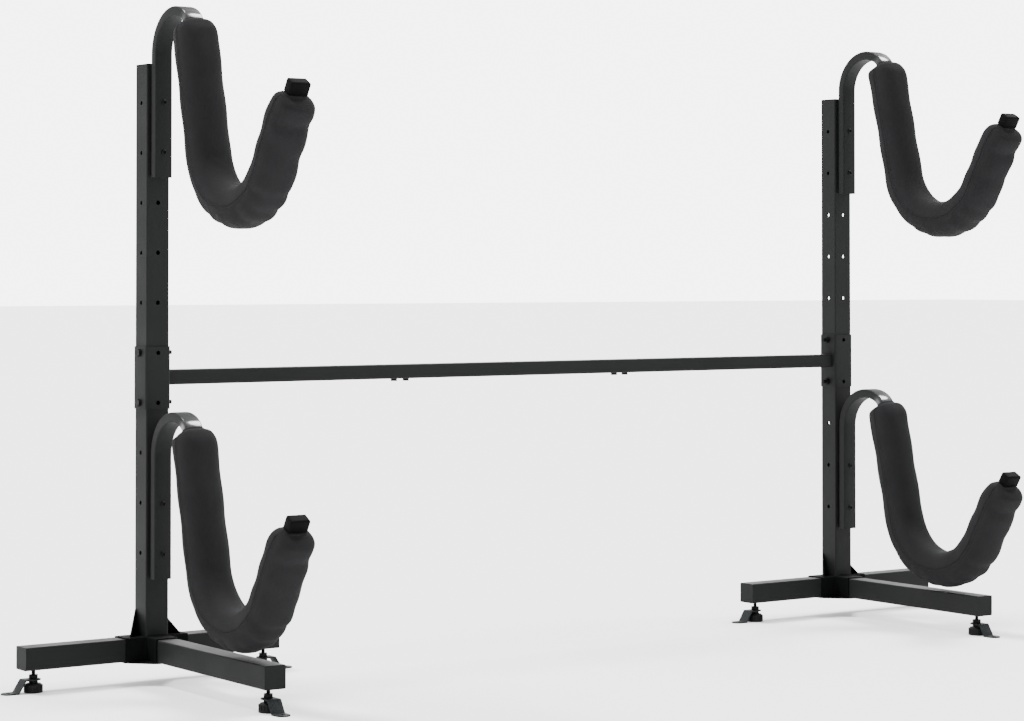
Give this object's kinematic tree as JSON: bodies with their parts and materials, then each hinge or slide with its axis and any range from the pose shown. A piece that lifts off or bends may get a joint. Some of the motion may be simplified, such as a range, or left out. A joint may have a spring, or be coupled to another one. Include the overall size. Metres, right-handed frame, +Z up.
{
  "type": "kayak rack",
  "caption": "Freestanding kayak rack: T-footed bolted posts joined by a crossbar, with padded J-shaped cradle arms high and low and levelling feet with anchor straps",
  "frame": {"origin": "centre of the rack's footprint box on the floor", "axes": "+X along the crossbar to the right frame, +Y to the back, away from the cradles, +Z up"},
  "size_m": [2.485, 0.6268, 1.3425],
  "materials": {
    "frame_paint": "black powder coat, semi-matt",
    "pad_cloth": "black woven polyester over foam",
    "foot_rubber": "black moulded grip pad",
    "cap_plastic": "black plastic plug",
    "arm_cap_rubber": "black rubber cap",
    "strap_steel": "dark plated steel strap",
    "black_fastener": "black coated steel",
    "insert_steel": "plain steel"
  },
  "bodies": {
    "rack": {"left_base_hub": "frame_paint", "right_base_hub": "frame_paint", "left_gusset_plates": "frame_paint", "right_gusset_plates": "frame_paint", "left_outer_leg": "frame_paint", "left_inner_leg": "frame_paint", "left_front_leg": "frame_paint", "right_outer_leg": "frame_paint", "right_inner_leg": "frame_paint", "right_front_leg": "frame_paint", "leg_end_caps": "cap_plastic", "left_lower_post": "frame_paint", "right_lower_post": "frame_paint", "left_upper_post": "frame_paint", "right_upper_post": "frame_paint", "left_post_cap": "cap_plastic", "right_post_cap": "cap_plastic", "left_post_coupler": "frame_paint", "right_post_coupler": "frame_paint", "left_crossbar": "frame_paint", "middle_crossbar": "frame_paint", "right_crossbar": "frame_paint", "left_splice_insert": "insert_steel", "right_splice_insert": "insert_steel", "splice_bolts": "black_fastener", "coupler_bolts": "black_fastener", "coupler_nuts": "black_fastener", "arm_bolts": "black_fastener", "arm_nuts": "black_fastener", "arm_spacers": "arm_cap_rubber", "left_upper_arm": "frame_paint", "left_lower_arm": "frame_paint", "right_upper_arm": "frame_paint", "right_lower_arm": "frame_paint", "left_arm_caps": "arm_cap_rubber", "right_arm_caps": "arm_cap_rubber", "left_upper_pad": "pad_cloth", "left_lower_pad": "pad_cloth", "right_upper_pad": "pad_cloth", "right_lower_pad": "pad_cloth", "foot_thread_inserts": "black_fastener"},
    "left_outer_anchor": {"left_outer_strap": "strap_steel"},
    "left_outer_leveller": {"left_outer_foot": "foot_rubber", "left_outer_stud": "black_fastener"},
    "left_inner_anchor": {"left_inner_strap": "strap_steel"},
    "left_inner_leveller": {"left_inner_foot": "foot_rubber", "left_inner_stud": "black_fastener"},
    "left_front_anchor": {"left_front_strap": "strap_steel"},
    "left_front_leveller": {"left_front_foot": "foot_rubber", "left_front_stud": "black_fastener"},
    "right_outer_anchor": {"right_outer_strap": "strap_steel"},
    "right_outer_leveller": {"right_outer_foot": "foot_rubber", "right_outer_stud": "black_fastener"},
    "right_inner_anchor": {"right_inner_strap": "strap_steel"},
    "right_inner_leveller": {"right_inner_foot": "foot_rubber", "right_inner_stud": "black_fastener"},
    "right_front_anchor": {"right_front_strap": "strap_steel"},
    "right_front_leveller": {"right_front_foot": "foot_rubber", "right_front_stud": "black_fastener"}
  },
  "joints": [
    {"name": "left_outer_level", "type": "slide", "parent": "rack", "child": "left_outer_anchor", "axis": [0, 0, 1], "range_m": [-0.015, 0.009]},
    {"name": "left_outer_turn", "type": "hinge", "parent": "left_outer_anchor", "child": "left_outer_leveller", "pos_m": [-1.1755, 0.27767, 0.01], "axis": [0, 0, 1], "range_deg": [-4321, 2593]},
    {"name": "left_inner_level", "type": "slide", "parent": "rack", "child": "left_inner_anchor", "axis": [0, 0, 1], "range_m": [-0.015, 0.009]},
    {"name": "left_inner_turn", "type": "hinge", "parent": "left_inner_anchor", "child": "left_inner_leveller", "pos_m": [-0.6625, 0.27767, 0.01], "axis": [0, 0, 1], "range_deg": [-4321, 2593]},
    {"name": "left_front_level", "type": "slide", "parent": "rack", "child": "left_front_anchor", "axis": [0, 0, 1], "range_m": [-0.015, 0.009]},
    {"name": "left_front_turn", "type": "hinge", "parent": "left_front_anchor", "child": "left_front_leveller", "pos_m": [-0.919, -0.19033, 0.01], "axis": [0, 0, 1], "range_deg": [-4321, 2593]},
    {"name": "right_outer_level", "type": "slide", "parent": "rack", "child": "right_outer_anchor", "axis": [0, 0, 1], "range_m": [-0.015, 0.009]},
    {"name": "right_outer_turn", "type": "hinge", "parent": "right_outer_anchor", "child": "right_outer_leveller", "pos_m": [1.1755, 0.27767, 0.01], "axis": [0, 0, 1], "range_deg": [-4321, 2593]},
    {"name": "right_inner_level", "type": "slide", "parent": "rack", "child": "right_inner_anchor", "axis": [0, 0, 1], "range_m": [-0.015, 0.009]},
    {"name": "right_inner_turn", "type": "hinge", "parent": "right_inner_anchor", "child": "right_inner_leveller", "pos_m": [0.6625, 0.27767, 0.01], "axis": [0, 0, 1], "range_deg": [-4321, 2593]},
    {"name": "right_front_level", "type": "slide", "parent": "rack", "child": "right_front_anchor", "axis": [0, 0, 1], "range_m": [-0.015, 0.009]},
    {"name": "right_front_turn", "type": "hinge", "parent": "right_front_anchor", "child": "right_front_leveller", "pos_m": [0.919, -0.19033, 0.01], "axis": [0, 0, 1], "range_deg": [-4321, 2593]}
  ],
  "couplings": [
    {"joint": "left_outer_turn", "follows": "left_outer_level", "rad_per_m": 5026.5},
    {"joint": "left_inner_turn", "follows": "left_inner_level", "rad_per_m": 5026.5},
    {"joint": "left_front_turn", "follows": "left_front_level", "rad_per_m": 5026.5},
    {"joint": "right_outer_turn", "follows": "right_outer_level", "rad_per_m": 5026.5},
    {"joint": "right_inner_turn", "follows": "right_inner_level", "rad_per_m": 5026.5},
    {"joint": "right_front_turn", "follows": "right_front_level", "rad_per_m": 5026.5}
  ]
}
